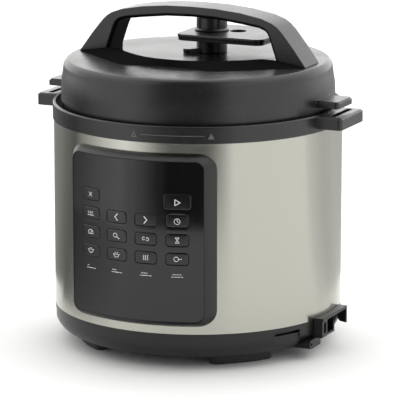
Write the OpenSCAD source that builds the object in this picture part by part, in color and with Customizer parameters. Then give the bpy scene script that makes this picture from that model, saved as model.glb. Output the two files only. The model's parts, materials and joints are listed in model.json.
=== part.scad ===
// Electric pressure cooker: round steel body on a black base, bayonet lid with a bridge handle.
// The origin is on the body's axis, on the surface that it stands on. The front faces -Y.

/* [Body] */
// Outside diameter of the steel shell
shell_d = 280; // [260:1:320]
// Height of the steel shell
shell_h = 182.5; // [165:0.5:220]
// Wall of the steel shell
shell_t = 0.8; // [0.6:0.1:1.5]
// Height of the base ring, from its underside to the steel shell
base_h = 26; // [24:1:40]
// Wall of the base ring and its floor
base_t = 2.6; // [2:0.1:4]
// Inward curve of the base ring towards its underside
base_tuck = 18; // [10:1:24]
// Height of the collar above the steel shell
collar_h = 16.3; // [14:0.1:22]
// Height of the feet
foot_h = 10; // [6:1:16]
// Width of a foot across the ring
foot_w = 14; // [10:1:20]
// Arc that a foot covers, in degrees
foot_arc = 26; // [14:1:30]
// Angle of the feet from the front and from the back
foot_angle = 47; // [30:1:50]

/* [Side handles] */
// How far each side handle stands out of the steel body
lug_out = 22; // [15:1:40]
// Width of a side handle
lug_w = 57; // [40:1:70]
// Thickness of a side handle
lug_t = 12; // [8:0.5:14]
// Width of the parking slot in a side handle
lug_slot_w = 5.5; // [3:0.5:8]
// Length of the parking slot
lug_slot_l = 44; // [20:1:48]
// How far each lid tab stands out of the steel body
tab_out = 14.7; // [10:0.1:30]
// Width of a lid tab
tab_w = 37; // [20:1:44]
// Thickness of a lid tab
tab_t = 6.7; // [4:0.1:9]

/* [Control panel] */
// Half width of the panel housing
bezel_hw = 75; // [66:1:84]
// Height of the panel housing
bezel_h = 165; // [155:1:180]
// How far the housing stands out of the steel shell
bezel_depth = 9.5; // [6:0.5:12]
// Half width of the glossy face
face_hw = 68; // [60:1:76]
// Height of the glossy face
face_h = 153; // [145:1:165]
// Thickness of the glossy face
face_t = 2.4; // [1.6:0.1:4]
// Width of a key
key_w = 21.5; // [16:0.5:26]
// Height of a key
key_h = 11.5; // [8:0.5:14]
// Width of the start key
start_w = 26.5; // [20:0.5:28]
// Height of the start key
start_h = 14.3; // [10:0.1:16]
// Distance between the key columns, round the face
key_pitch = 30.4; // [26:0.1:33]
// Height between the key rows
key_pitch_z = 18; // [15:0.5:20]
// Travel of a key
key_travel = 0.6; // [0.3:0.1:1]

/* [Pots] */
// Outside diameter of the inner pot
pot_d = 227; // [200:1:232]
// Wall of the inner pot
pot_t = 1.5; // [0.8:0.1:2]
// Outside diameter of the pressure housing around the pot
housing_d = 237; // [234:1:240]
// Wall of the pressure housing
housing_t = 1.5; // [1:0.1:2.5]
// Number of bayonet lugs
lugs = 6; // [4:1:8]
// Turn that unlocks the lid, in degrees
lock_turn = 30; // [20:1:30]

/* [Lid] */
// Outside diameter of the lid cover at its lower edge
lid_d = 266; // [262:1:300]
// Height of the lid cover, from its lower edge to its top
lid_h = 46; // [40:0.5:60]
// Wall of the lid cover
lid_t = 2.6; // [2:0.1:4]
// Wall of the pressed inner lid
inner_lid_t = 2; // [1.5:0.1:3]
// Height of the bridge handle above the lid
handle_h = 51; // [44:0.5:60]
// Width of the bridge handle over its feet
handle_l = 240; // [220:1:246]
// Depth of the bridge handle
handle_d = 34; // [26:1:40]

/* [Steam valve] */
// Distance of the valve behind the lid's centre
valve_y = 32; // [30:1:44]
// Outside diameter of the valve column
valve_d = 30; // [24:1:34]
// Width of the guard plate
plate_w = 92; // [60:1:100]
// Depth of the guard plate
plate_d = 74; // [50:1:80]
// Thickness of the guard plate
plate_t = 6.3; // [4:0.1:8]
// Height of the guard plate above the lid
plate_z = 15; // [12:0.5:22]
// Reach of the release lever from the column's axis
lever_l = 30; // [22:1:34]
// Lift of the valve weight
weight_lift = 3; // [2:0.5:4]
// Travel of the float valve
float_travel = 5; // [3:0.5:6]

/* [Rear cup and inlet] */
// Width of the condensation cup
cup_w = 62; // [40:1:80]
// Height of the condensation cup
cup_h = 58; // [30:1:80]
// How far the inlet housing stands out of the body's axis
inlet_reach = 7; // [4:1:15]
// Width of the power inlet's recess
socket_w = 24; // [22:1:28]
// Height of the power inlet's recess
socket_h = 15; // [13:0.5:16]

/* [Hidden] */

$fn = 120;
fn_small = 40;

// Clearances
gap_body = 0.3;      // between faces of pieces that move past each other
gap_run = 0.1;       // radial running fit of a pin or sleeve
gap_fit = 0.2;       // between pieces that are clipped together
gap_rest = 0.05;     // between faces that lie on each other
eps = 0.01;
far = 400;           // longer than any piece, for cutting tools

// Heights of the body
z_base = foot_h;
z_shell = z_base + base_h;
z_collar = z_shell + shell_h;
z_top = z_collar + collar_h;
z_floor = z_base + base_t;
shell_r = shell_d/2;
lug_span = shell_d + 2*lug_out;
tab_span = shell_d + 2*tab_out;
inlet_x = shell_r + inlet_reach;
lip_h = 6;           // height of the lips that locate the steel shell
lip_t = 2.2;
base_r = shell_r - base_tuck;
base_straight = 9;   // straight part of the base ring under the steel shell

// Collar
collar_r = shell_r + 1;
collar_in = shell_r - 2;
well_z = z_collar + 3.5;         // floor of the channel that takes the lid's skirt
well_t = 3;
lug_z = z_top - lug_t - 1.1;

// Bayonet and pots
lug_reach = 4;                   // radial reach of the housing's lugs
lug_plate = 2;                   // thickness of a housing lug
bayonet_gap = 0.5;               // height between the engaged lugs
lug_arc = 360/lugs/2 - 4;        // arc of one lug
neck_r = housing_d/2 + 3;
flange_z = well_z + 8.4;         // underside of the housing's lugs
rim_z = flange_z + lug_plate + gap_body;
rim_h = 2;
pot_r = pot_d/2;
pot_z = z_base + 71;                      // underside of the inner pot
housing_r = housing_d/2;
housing_z = pot_z - 21;          // underside of the pressure housing
well_r = housing_r + 1.8;        // inner edge of the collar's channel

// Lid
lid_z = z_top - 3.8;             // lower edge of the lid cover
lid_r = lid_d/2;
lid_top = lid_z + lid_h;
crease_r = lid_r - 6.6;          // rim of the flat top
crease_z = lid_top - 0.8;
skin_out = lid_r - 3.2;          // outside of the inner lid's skirt
skin_in = skin_out - inner_lid_t;
inner_rim_z = rim_z + rim_h + 12.1;   // underside of the inner lid over the seal
dome_z = inner_rim_z + 5;        // underside of its raised centre
dome_r = 94;
tab_z = z_top + 5.2;

// Panel
bezel_z = z_shell + 8;
face_r = shell_r + bezel_depth - 0.5;
key_pitch_a = key_pitch/face_r*180/PI;
face_z = bezel_z + 6;
key_row_z = bezel_z + 66.8;       // height of the lowest key row
key_edge = 0.3;                  // gap around a key
key_proud = 0.4;
board_y = shell_r - 12;           // front of the control board, before the body's axis
board_t = 1.6;
board_hw = 50;
board_z = [bezel_z + 36, bezel_z + 154];
cutout_hw = 58;                  // opening in the steel shell behind the panel
switch_h = 2;
plunger_h = 0.4;
plunger_r = 1.7;
post = [44, bezel_z + 44, bezel_z + 146];            // half spacing and heights of the face's rear posts
post_r = 3;

// Electronics
shield_z = z_base + 38;
power_z = z_base + 16;

// Valve
valve_foot = lid_top;
pipe_r = 5;
pipe_in = 2.5;
pipe_stub = weight_lift + 2;       // pipe above the guard plate, which guides the lifted weight
core_r = valve_d/2 - 3;
plate_lo = valve_foot + plate_z;
plate_hi = plate_lo + plate_t;
float_at = [-22, 79];
float_r = 2.5;

// ---- Shared shapes ----

// Rounded rectangle about the origin
module rrect(w, h, r) {
  square([w - 2*r, h], center = true);
  square([w, h - 2*r], center = true);
  for (x = [-1, 1], y = [-1, 1])
    translate([x*(w/2 - r), y*(h/2 - r)]) circle(r, $fn = fn_small);
}

// Tube on the axis between two heights
module tube(ro, ri, z0, z1) {
  translate([0, 0, z0]) difference() {
    cylinder(r = ro, h = z1 - z0);
    translate([0, 0, -eps]) cylinder(r = ri, h = z1 - z0 + 2*eps);
  }
}

// Part of a tube, about a direction counted from the front towards +X
module tube_arc(ro, ri, z0, z1, mid, span) {
  rotate([0, 0, mid - 90 - span/2]) translate([0, 0, z0])
    rotate_extrude(angle = span) translate([ri, 0]) square([ro - ri, z1 - z0]);
}

// Prism through the front of the body along -Y
module front_prism(z) {
  translate([0, 0, z]) rotate([90, 0, 0]) linear_extrude(far/2) children();
}

// Box given by its low corner and its high corner
module box(lo, hi) {
  translate(lo) cube(hi - lo);
}

// Closed skin over rings of points, as a tube or as a closed loop of rings
module skin(rings, loop = false) {
  n = len(rings[0]);
  m = len(rings);
  sides = [for (i = [0 : m - (loop ? 1 : 2)], j = [0 : n - 1])
    let (a = i*n, b = (i + 1)%m*n, k = (j + 1)%n) each [[a + j, b + j, b + k], [a + j, b + k, a + k]]];
  ends = loop ? [] : [[for (j = [0 : n - 1]) j], [for (j = [n - 1 : -1 : 0]) (m - 1)*n + j]];
  polyhedron([for (r = rings) each r], concat(sides, ends), convexity = 6);
}

// ---- Base and body ----

function base_curve(inset) =
  [for (t = [0 : 6 : 90]) [base_r - inset + base_tuck*sin(t),
    z_shell - base_straight - (base_h - base_straight)*cos(t) + inset*cos(t)]];

grip_mid = 62.6;
grip_span = 12.4;

module base_shell() {
  slot_z = z_shell - 8;
  slot_h = 3;
  pocket_d = 1.6;
  slot_d = 6;
  boss_r = 4.5;
  vent_r = 70;
  color("#2c2c2c") {
    difference() {
      rotate_extrude() polygon(concat(
        [[vent_r, z_base]], base_curve(0),
        [[shell_r, z_shell], [shell_r - shell_t - gap_fit, z_shell],
         [shell_r - shell_t - gap_fit, z_shell + lip_h],
         [shell_r - shell_t - gap_fit - lip_t, z_shell + lip_h]],
        [for (i = [15 : -1 : 0]) base_curve(base_t)[i]],
        [[vent_r, z_floor]]));
      // finger grips at both sides of the front
      for (s = [-1, 1]) {
        tube_arc(shell_r + 1, shell_r - pocket_d, z_base + 5, slot_z, s*grip_mid, grip_span);
        tube_arc(shell_r + 1, shell_r - slot_d, slot_z - eps, slot_z + slot_h, s*grip_mid, grip_span);
      }
      // opening for the power inlet
      box([shell_r - 30, inlet_y - inlet_hw - gap_fit, z_floor + 1 - gap_fit],
          [shell_r + 5, inlet_y + inlet_hw + gap_fit, inlet_z1 + gap_fit]);
      screw_holes(z_base, 5, 1.6);
    }
    // pockets behind the grips
    for (s = [-1, 1])
      tube_arc(shell_r - slot_d, shell_r - slot_d - base_t, z_base + 8, z_shell, s*grip_mid, grip_span + 3);
    // pillars under the heat shield
    for (a = [45 : 90 : 315]) rotate([0, 0, a]) translate([96, 0, z_floor - eps])
      cylinder(r = boss_r, h = shield_z - z_floor + eps, $fn = fn_small);
    // bosses under the power board
    for (x = [-1, 1], y = [0, 1])
      translate([x*board_boss[0], board_boss[1 + y], z_floor - eps])
        cylinder(r = boss_r, h = power_z - z_floor + eps, $fn = fn_small);
  }
}

board_boss = [40, -96, -84];
module screw_holes(z, h, r) {
  for (a = [0 : 90 : 270]) rotate([0, 0, a]) translate([72.5, 0, z - eps])
    cylinder(r = r, h = h + eps, $fn = fn_small);
}

cover_t = 1.8;
module bottom_cover() {
  cover_r = 76;
  vent_w = 2.4;
  color("#242424") difference() {
    translate([0, 0, z_base - cover_t]) cylinder(r = cover_r, h = cover_t);
    for (i = [-7 : 7]) translate([i*6, 0, z_base - cover_t/2])
      cube([vent_w, 70, 2*cover_t], center = true);
    screw_holes(z_base - cover_t - eps, cover_t + 2*eps, 1.6);
  }
}

module base_screws() {
  head_h = 1.6;
  color("silver") for (a = [0 : 90 : 270]) rotate([0, 0, a]) translate([72.5, 0, z_base - cover_t]) {
    cylinder(r = 1.5, h = cover_t + 2, $fn = fn_small);
    translate([0, 0, -head_h]) difference() {
      cylinder(r = 3, h = head_h, $fn = fn_small);
      for (a = [0, 90]) rotate([0, 0, a]) cube([3.4, 0.8, 1.6], center = true);
    }
  }
}

// Outline of a curved foot with round ends
function foot_outline(mid_r) =
  let (half = foot_arc/2, w = foot_w/2)
  concat([for (t = [-half : 2 : half]) (mid_r + w)*[cos(t), sin(t)]],
    [for (b = [15 : 15 : 165]) mid_r*[cos(half), sin(half)] + w*[cos(half + b), sin(half + b)]],
    [for (t = [half : -2 : -half]) (mid_r - w)*[cos(t), sin(t)]],
    [for (b = [195 : 15 : 345]) mid_r*[cos(half), -sin(half)] + w*[cos(b - half), sin(b - half)]]);

module feet() {
  rim = 5;             // from the underside's edge to a foot
  color("#1e1e1e") for (a = [foot_angle, 180 - foot_angle, 180 + foot_angle, -foot_angle])
    rotate([0, 0, a - 90]) linear_extrude(foot_h) polygon(foot_outline(base_r - rim - foot_w/2));
}

module outer_shell() {
  color("#c3c3b8") difference() {
    tube(shell_r, shell_r - shell_t, z_shell, z_collar);
    box([-cutout_hw, -far/2, board_z[0] - 2], [cutout_hw, 0, z_collar - 14]);
    // holes for the pins of the cup's rails
    for (x = [-1, 1]) translate([x*(rail_x[0] + rail_x[1])/2, 0, rail_z]) rotate([-90, 0, 0])
      cylinder(r = rail_pin + gap_fit, h = far/2, $fn = fn_small);
  }
}

module collar() {
  color("#2a2a2a") difference() {
    union() {
      rotate_extrude() polygon([
        [well_r, well_z - well_t], [shell_r - 6, well_z - well_t],
        [shell_r - shell_t - gap_fit - lip_t, z_collar - lip_h],
        [shell_r - shell_t - gap_fit, z_collar - lip_h], [shell_r - shell_t - gap_fit, z_collar],
        [collar_r, z_collar], [collar_r, z_top - 1], [collar_r - 1, z_top], [collar_in, z_top],
        [collar_in, well_z], [well_r, well_z]]);
      for (s = [0, 180]) rotate([0, 0, s]) lug_block();
    }
    cylinder(r = well_r, h = far);
    tube(collar_in, well_r - 1, well_z, far);
    for (s = [0, 180]) rotate([0, 0, s]) translate([lug_span/2 - lug_rim - lug_slot_w/2, 0, 0])
      linear_extrude(far) rrect(lug_slot_w, lug_slot_l, lug_slot_w/2 - eps);
  }
}

lug_rim = 9;   // material outside the parking slot
module lug_block() {
  corner = 4;
  edge = 1.6;
  root = (lug_span/2 - collar_r + 19)/2;   // half length, from inside the collar's wall
  module outline(inset) {
    translate([lug_span/2 - root, 0]) rrect(2*root - 2*inset, lug_w - 2*inset, corner - inset);
  }
  translate([0, 0, lug_z]) linear_extrude(lug_t - edge) outline(0);
  translate([0, 0, lug_z + lug_t - edge]) linear_extrude(edge/2) outline(edge/4);
  translate([0, 0, lug_z + lug_t - edge/2]) linear_extrude(edge/2) outline(edge);
}

// Open and closed marks with the arrow line between them, raised on the collar's side
module lock_marks() {
  mark = 6;
  line_h = 0.6;
  relief = 0.3;
  mid_z = (z_collar + z_top)/2 - 0.5;
  module at(a) rotate([0, 0, a]) front_prism(mid_z) children();
  color("#6a6a6a") intersection() {
    tube(collar_r + relief, collar_r, z_collar, z_top - 1);
    union() {
      at(0) difference() {
        polygon([[-mark/2, -mark/2], [mark/2, -mark/2], [0, mark/2]]);
        polygon([[-mark/4, -mark/3], [mark/4, -mark/3], [0, mark/5]]);
      }
      at(lock_turn) polygon([[-mark/2, -mark/2], [mark/2, -mark/2], [0, mark/2]]);
      tube_arc(collar_r + 1, collar_r - 1, mid_z - line_h/2, mid_z + line_h/2,
        lock_turn/2, lock_turn - 5);
    }
  }
}

// ---- Pressure housing and heater ----

module bayonet(ri, ro, z, h, offset_a) {
  for (i = [0 : lugs - 1]) tube_arc(ro, ri, z, z + h, i*360/lugs + offset_a, lug_arc);
}

module pressure_housing() {
  hole_r = 50;
  color("#b9b9b4") {
    difference() {
      rotate_extrude() polygon([
        [hole_r, housing_z], [housing_r - 5, housing_z], [housing_r - 1.5, housing_z + 1.5],
        [housing_r, housing_z + 5], [housing_r, flange_z], [neck_r, flange_z],
        [neck_r, flange_z + lug_plate], [housing_r - housing_t, flange_z + lug_plate],
        [housing_r - housing_t, housing_z + 5], [housing_r - 5, housing_z + housing_t],
        [hole_r, housing_z + housing_t]]);
      for (s = [-1, 1]) translate([s*element_r, 0, housing_z - 1])
        cylinder(r = 4, h = 4, $fn = fn_small);
    }
    bayonet(neck_r - 0.5, neck_r + lug_reach + 2, flange_z, lug_plate, 0);
  }
}

module heat_shield() {
  color("#a8a8a4") difference() {
    translate([0, 0, shield_z]) cylinder(r = 108, h = 0.8);
    translate([0, 0, shield_z - 1]) cylinder(r = 14, h = 3);
    for (s = [-1, 1]) translate([s*element_r, 0, shield_z - 1]) cylinder(r = 6, h = 3, $fn = fn_small);
    // the heater's wires and the ribbon pass here
    translate([0, -108, shield_z - 1]) cylinder(r = 12, h = 3, $fn = fn_small);
  }
}

element_r = 66;
element_tube = 3.4;
plate_low = pot_z - 11;
sensor_hole = 17;
module heating_plate() {
  color("#cfcfcb") {
    rotate_extrude() polygon([
      [sensor_hole, plate_low], [97, plate_low], [99, plate_low + 2], [99, pot_z - gap_body - 3],
      [96, pot_z - gap_body], [sensor_hole, pot_z - gap_body]]);
    for (a = [30 : 60 : 330]) rotate([0, 0, a]) translate([84, 0, housing_z + housing_t])
      cylinder(r = 5, h = plate_low - housing_z - housing_t + eps, $fn = fn_small);
  }
}

module heating_element() {
  ring_z = plate_low - element_tube - gap_body;
  color("#77736c") {
    translate([0, 0, ring_z]) rotate([0, 0, 12]) rotate_extrude(angle = 156)
      translate([element_r, 0]) circle(element_tube, $fn = fn_small);
    translate([0, 0, ring_z]) rotate([0, 0, 192]) rotate_extrude(angle = 156)
      translate([element_r, 0]) circle(element_tube, $fn = fn_small);
    for (s = [-1, 1]) translate([s*element_r, 0, shield_z - 6]) {
      cylinder(r = 2, h = ring_z - shield_z + 6, $fn = fn_small);
      translate([0, 0, ring_z - shield_z + 6]) cylinder(r = 2.6, h = 3, $fn = fn_small);
    }
    for (s = [-1, 1]) intersection() {
      translate([0, 0, ring_z]) rotate_extrude() translate([element_r, 0]) circle(2.2, $fn = fn_small);
      box([s*element_r - 9, -14.5, ring_z - 5], [s*element_r + 9, 14.5, ring_z + 5]);
    }
  }
}

module thermal_fuse() {
  color("#d8d2c4") translate([32, -5, plate_low - 5]) cube([9, 22, 5]);
}

module pressure_switch() {
  color("#3a3a42") {
    box([-14, 30, shield_z + 0.8], [14, 46, housing_z - 2]);
    translate([0, 38, housing_z - 2]) cylinder(r = 3, h = 2, $fn = fn_small);
  }
}

// Temperature sensor: a spring pushes its cap up against the pot
sensor_r = 13;
sensor_travel = 3;
module sensor_housing() {
  color("#8d8d88") {
    tube(sensor_r + 2.5, sensor_r, housing_z - 4, pot_z - 8);
    difference() {
      translate([0, 0, housing_z - 6.5]) cylinder(r = sensor_r + 2.5, h = 2.5);
      translate([0, 0, housing_z - 7]) cylinder(r = 3, h = 4, $fn = fn_small);
    }
    difference() {
      translate([0, 0, housing_z - 2]) cylinder(r = 53, h = 2);
      translate([0, 0, housing_z - 3]) cylinder(r = sensor_r + 2, h = 4);
      for (a = [90, 210, 330]) rotate([0, 0, a]) translate([34, 0, housing_z - 3])
        cylinder(r = 11, h = 4, $fn = fn_small);
    }
  }
}

module sensor_spring() {
  wire = 0.6;
  coil_r = 8.6;
  turns = 6;
  step = 15;
  low = housing_z - 4 + wire + 0.05;
  high = pot_z - gap_body - 1.4 - wire - 0.05;
  rings = [for (a = [0 : step : 360*turns])
    let (z = low + (high - low)*a/(360*turns))
    [for (b = [0 : 45 : 315]) [(coil_r + wire*cos(b))*cos(a), (coil_r + wire*cos(b))*sin(a),
      z + wire*sin(b)]]];
  color("#9a9a9a") skin(rings);
}

module sensor_button() {
  top = pot_z - gap_body;
  out = sensor_r - gap_run;
  wall = 1.2;
  cap_t = 1.4;
  skirt = 9 + sensor_travel;
  color("#d5d5d2") rotate_extrude() polygon([
    [0, top - cap_t], [out - wall, top - cap_t], [out - wall, top - skirt],
    [out, top - skirt], [out, top - 0.8], [out - 0.8, top], [0, top]]);
}

// ---- Electronics ----

module power_board() {
  color("#2f5d3a") box([-46, -104, power_z], [46, -66, power_z + board_t]);
}

module power_parts() {
  top = power_z + board_t;
  color("#d9c36a") {
    box([-42, -100, top], [-22, -84, top + 15]);
    box([-16, -101, top], [6, -81, top + 17]);
    for (x = [14, 28]) translate([x, -92, top]) cylinder(r = 5.5, h = 14, $fn = fn_small);
    box([-40, -79, top], [-12, -70, top + 10]);
    box([12, -80, top], [38, -70, top + 8]);
  }
}

module ribbon_cable() {
  w = 18;
  t = 0.8;
  y0 = -board_y + board_t;
  path = [[board_z[0] + 9, y0], [shield_z + 14, y0 + 3], [power_z + 14, -107.8], [power_z + board_t, -103.3]];
  back = [for (i = [len(path) - 1 : -1 : 0]) [path[i][0], path[i][1] + t]];
  color("#c9c9c9") translate([w/2, 0, 0]) rotate([0, -90, 0]) linear_extrude(w)
    polygon(concat(path, back));
}

// ---- Control panel ----

// Rounded rectangle bent round the body: half width, two heights, corner radius, body radius
function panel_ring(hw, z0, z1, rc, r) =
  let (across = 20, cs = 6,
    pts = concat(
      [for (i = [0 : across]) [-hw + rc + (2*hw - 2*rc)*i/across, z0]],
      [for (i = [1 : cs - 1]) [hw - rc + rc*sin(90*i/cs), z0 + rc - rc*cos(90*i/cs)]],
      [[hw, z0 + rc], [hw, z1 - rc]],
      [for (i = [1 : cs - 1]) [hw - rc + rc*cos(90*i/cs), z1 - rc + rc*sin(90*i/cs)]],
      [for (i = [0 : across]) [hw - rc - (2*hw - 2*rc)*i/across, z1]],
      [for (i = [1 : cs - 1]) [-hw + rc - rc*sin(90*i/cs), z1 - rc + rc*cos(90*i/cs)]],
      [[-hw, z1 - rc], [-hw, z0 + rc]],
      [for (i = [1 : cs - 1]) [-hw + rc - rc*cos(90*i/cs), z0 + rc - rc*sin(90*i/cs)]]))
  [for (p = pts) [p[0], -sqrt(r*r - p[0]*p[0]), p[1]]];

module bezel() {
  back = shell_r + gap_fit;
  front = shell_r + bezel_depth;
  seat = face_r - face_t - gap_fit;
  z1 = bezel_z + bezel_h;
  fz1 = face_z + face_h;
  ledge = 5;
  color("#2b2b2b") skin([
    panel_ring(bezel_hw, bezel_z, z1, 15, back),
    panel_ring(bezel_hw, bezel_z, z1, 15, back + 1.5),
    panel_ring(bezel_hw - 2.2, bezel_z + 1.8, z1 - 2.2, 13.5, back + 5.5),
    panel_ring(face_hw + 1.9, face_z - 2.4, fz1 + 1.6, 10, front - 0.8),
    panel_ring(face_hw + 0.9, face_z - 1.4, fz1 + 0.9, 9, front),
    panel_ring(face_hw + gap_fit, face_z - gap_fit, fz1 + gap_fit, 8, front - 0.4),
    panel_ring(face_hw + gap_fit, face_z - gap_fit, fz1 + gap_fit, 8, seat),
    panel_ring(face_hw - ledge, face_z + ledge, fz1 - ledge, 5, seat),
    panel_ring(face_hw - ledge, face_z + ledge, fz1 - ledge, 5, back)], loop = true);
}

// Keys by column, each [column, row from the lowest, width, height]
keys = [
  [0, 3, key_w, key_h], [0, 2, key_w, key_h], [0, 1, key_w, key_h], [0, 0, key_w, key_h],
  [1, 2, key_w, key_h], [1, 1, key_w, key_h], [1, 0, key_w, key_h],
  [2, 2, key_w, key_h], [2, 1, key_w, key_h], [2, 0, key_w, key_h],
  [3, 3, start_w, start_h], [3, 2, key_w, key_h], [3, 1, key_w, key_h], [3, 0, key_w, key_h]];
key_corner = 3;
function key_a(k) = (k[0] - 1.5)*key_pitch_a;
function key_z(k) = key_row_z + k[1]*key_pitch_z;

module panel_face() {
  color("#161618") {
    difference() {
      intersection() {
        tube(face_r, face_r - face_t, face_z, face_z + face_h);
        front_prism(face_z + face_h/2) rrect(2*face_hw, face_h, 8);
      }
      for (k = keys) rotate([0, 0, key_a(k)]) front_prism(key_z(k))
        rrect(k[2] + 2*key_edge, k[3] + 2*key_edge, key_corner + key_edge);
    }
    // posts that carry the control board
    for (x = [-1, 1], z = [post[1], post[2]]) translate([x*post[0], -board_y, z])
      rotate([90, 0, 0]) cylinder(r = post_r, h = face_r - face_t/2 - board_y - 6.5, $fn = fn_small);
  }
}

module key(i) {
  k = keys[i];
  a = key_a(k);
  flange = face_r - face_t - 1;
  flange_t = 1.2;
  stem_r = 1.8;
  stem_in = (board_y + switch_h + plunger_h + key_travel + gap_body)/cos(a);
  color("#1c1c1f") rotate([0, 0, a]) {
    intersection() {
      tube(face_r + key_proud, flange - flange_t/2, 0, far);
      front_prism(key_z(k)) rrect(k[2], k[3], key_corner);
    }
    intersection() {
      tube(flange, flange - flange_t, 0, far);
      front_prism(key_z(k)) rrect(k[2] + 2, k[3] + 2, key_corner + 1);
    }
    translate([0, -stem_in, key_z(k)]) rotate([90, 0, 0])
      cylinder(r = stem_r, h = flange - flange_t/2 - stem_in, $fn = fn_small);
  }
}

module control_board() {
  color("#2f5d3a") box([-board_hw, -board_y, board_z[0]], [board_hw, board_t - board_y, board_z[1]]);
}

module display_module() {
  color("#0e0e10") box([-30, -board_y - 6, board_z[1] - 23], [30, -board_y, board_z[1] - 2]);
}

module key_switches() {
  half = 3;
  color("#55555a") for (k = keys) translate([board_y*tan(key_a(k)), -board_y, key_z(k)]) {
    box([-half, -switch_h, -half], [half, 0, half]);
    translate([0, -switch_h, 0]) rotate([90, 0, 0])
      cylinder(r = plunger_r, h = plunger_h, $fn = fn_small);
  }
}

// ---- Power inlet ----

inlet_y = 3;
inlet_hw = socket_w/2 + 3;
inlet_z0 = z_floor + 1;
inlet_z1 = inlet_z0 + socket_h + 5;
inlet_face = shell_r - 2;
inlet_depth = 24;

module inlet_housing() {
  shelf_z = z_shell + 2.2;
  shelf_t = 3;
  shelf_y = [-32, 28];
  block_end = -19;
  rib_t = 3;
  lobe = [-41.5, 4.5];        // place along Y and radius of the rounded lobe
  lobe_x = shell_r - 1;
  color("#333333") difference() {
    union() {
      box([shell_r - 6, shelf_y[0], shelf_z - shelf_t], [inlet_x, shelf_y[1], shelf_z]);
      // rear rib
      translate([0, shelf_y[1], 0]) rotate([90, 0, 0]) linear_extrude(rib_t)
        polygon([[shell_r - 6, shelf_z], [inlet_x, shelf_z], [inlet_x, shelf_z - 17],
          [inlet_x - 7, shelf_z - 16], [shell_r - 3, shelf_z - 12]]);
      // front block with its rounded lobe
      box([shell_r - 14, shelf_y[0], z_base + 2*lobe[1] - eps],
          [inlet_x - 1, block_end, shelf_z - shelf_t + eps]);
      translate([shell_r - 24, lobe[0], z_base + lobe[1]]) rotate([0, 90, 0])
        cylinder(r = lobe[1], h = lobe_x - shell_r + 24, $fn = fn_small);
      box([shell_r - 24, lobe[0], z_base], [lobe_x, block_end, z_base + 2*lobe[1]]);
    }
    // clears the base ring and the steel shell
    translate([0, 0, z_base - 1]) rotate_extrude() polygon(concat([[0, 0]],
      [for (p = base_curve(0)) [p[0] + gap_fit, p[1] - z_base + 1]],
      [[shell_r + gap_fit, far], [0, far]]));
    // slot and screw recess
    translate([inlet_x - 4, -25, z_base + 18]) rotate([0, 90, 0]) linear_extrude(far)
      rrect(11, 5, 2.4);
    translate([lobe_x - 3, lobe[0], z_base + lobe[1]]) rotate([0, 90, 0])
      cylinder(r = 1.6, h = far, $fn = fn_small);
  }
}

module inlet_socket() {
  color("#262626") difference() {
    box([inlet_face - inlet_depth, inlet_y - inlet_hw, inlet_z0], [inlet_face, inlet_y + inlet_hw, inlet_z1]);
    box([inlet_face - inlet_depth + 4, inlet_y - socket_w/2, inlet_z0 + 2.5],
        [inlet_face + 1, inlet_y + socket_w/2, inlet_z0 + 2.5 + socket_h]);
  }
}

module inlet_pins() {
  mid = inlet_z0 + 2.5 + socket_h/2;
  color("#c9a85c") for (p = [[-7, -1.8], [7, -1.8], [0, 2.2]])
    box([inlet_face - inlet_depth + 4, inlet_y + p[0] - 1, mid + p[1] - 2],
        [inlet_face - 9, inlet_y + p[0] + 1, mid + p[1] + 2]);
}

// ---- Condensation cup at the rear ----

rail_x = [22, 28];     // inner and outer side of a rail strip
rail_z = z_collar - 36.5;
rail_h = 20;
rail_t = 4;
rail_pin = 1.9;
cup_out = bezel_depth;
module cup_rail() {
  color("#2a2a2a") for (s = [-1, 1]) {
    intersection() {
      tube(shell_r + rail_t, shell_r + gap_rest, rail_z - rail_h/2, rail_z + rail_h/2);
      box([s*(rail_x[0] + rail_x[1])/2 - (rail_x[1] - rail_x[0])/2, 0, 0],
          [s*(rail_x[0] + rail_x[1])/2 + (rail_x[1] - rail_x[0])/2, far, far]);
    }
    // pin that clips into the steel shell
    translate([s*(rail_x[0] + rail_x[1])/2, shell_r - 6, rail_z]) rotate([-90, 0, 0])
      cylinder(r = rail_pin, h = 6, $fn = fn_small);
  }
}

module condensation_cup() {
  wall = 1.4;
  corner = 6;
  z0 = rail_z + rail_h/2 - cup_h;
  z1 = rail_z + rail_h/2;
  back = shell_r + 2*gap_body;
  mouth = rail_x[0] - gap_body - 3.7;      // half width of the open top
  pocket_z = rail_z - rail_h/2 - gap_body;
  color("#3c3f42") difference() {
    intersection() {
      tube(shell_r + cup_out, back, z0, z1);
      translate([0, 0, (z0 + z1)/2]) rotate([-90, 0, 0]) linear_extrude(far/2) rrect(cup_w, cup_h, corner);
    }
    // inside, as wide as the cup below the rails and narrower between them
    intersection() {
      tube(shell_r + cup_out - wall, back + wall, z0 + wall, far);
      union() {
        translate([0, 0, (z0 + pocket_z)/2]) rotate([-90, 0, 0]) linear_extrude(far/2)
          rrect(cup_w - 2*wall, pocket_z - z0 - 2*wall, corner - wall);
        box([-mouth, 0, z0 + 2*wall], [mouth, far, far]);
      }
    }
    // pockets that fit over the rails
    for (s = [-1, 1]) intersection() {
      tube(shell_r + rail_t + gap_body, shell_r - 5, pocket_z, far);
      box([s*(rail_x[0] + rail_x[1])/2 - (rail_x[1] - rail_x[0])/2 - gap_body, 0, 0],
          [s*(rail_x[0] + rail_x[1])/2 + (rail_x[1] - rail_x[0])/2 + gap_body, far, far]);
    }
  }
}

// ---- Inner pot and seal ----

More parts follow.
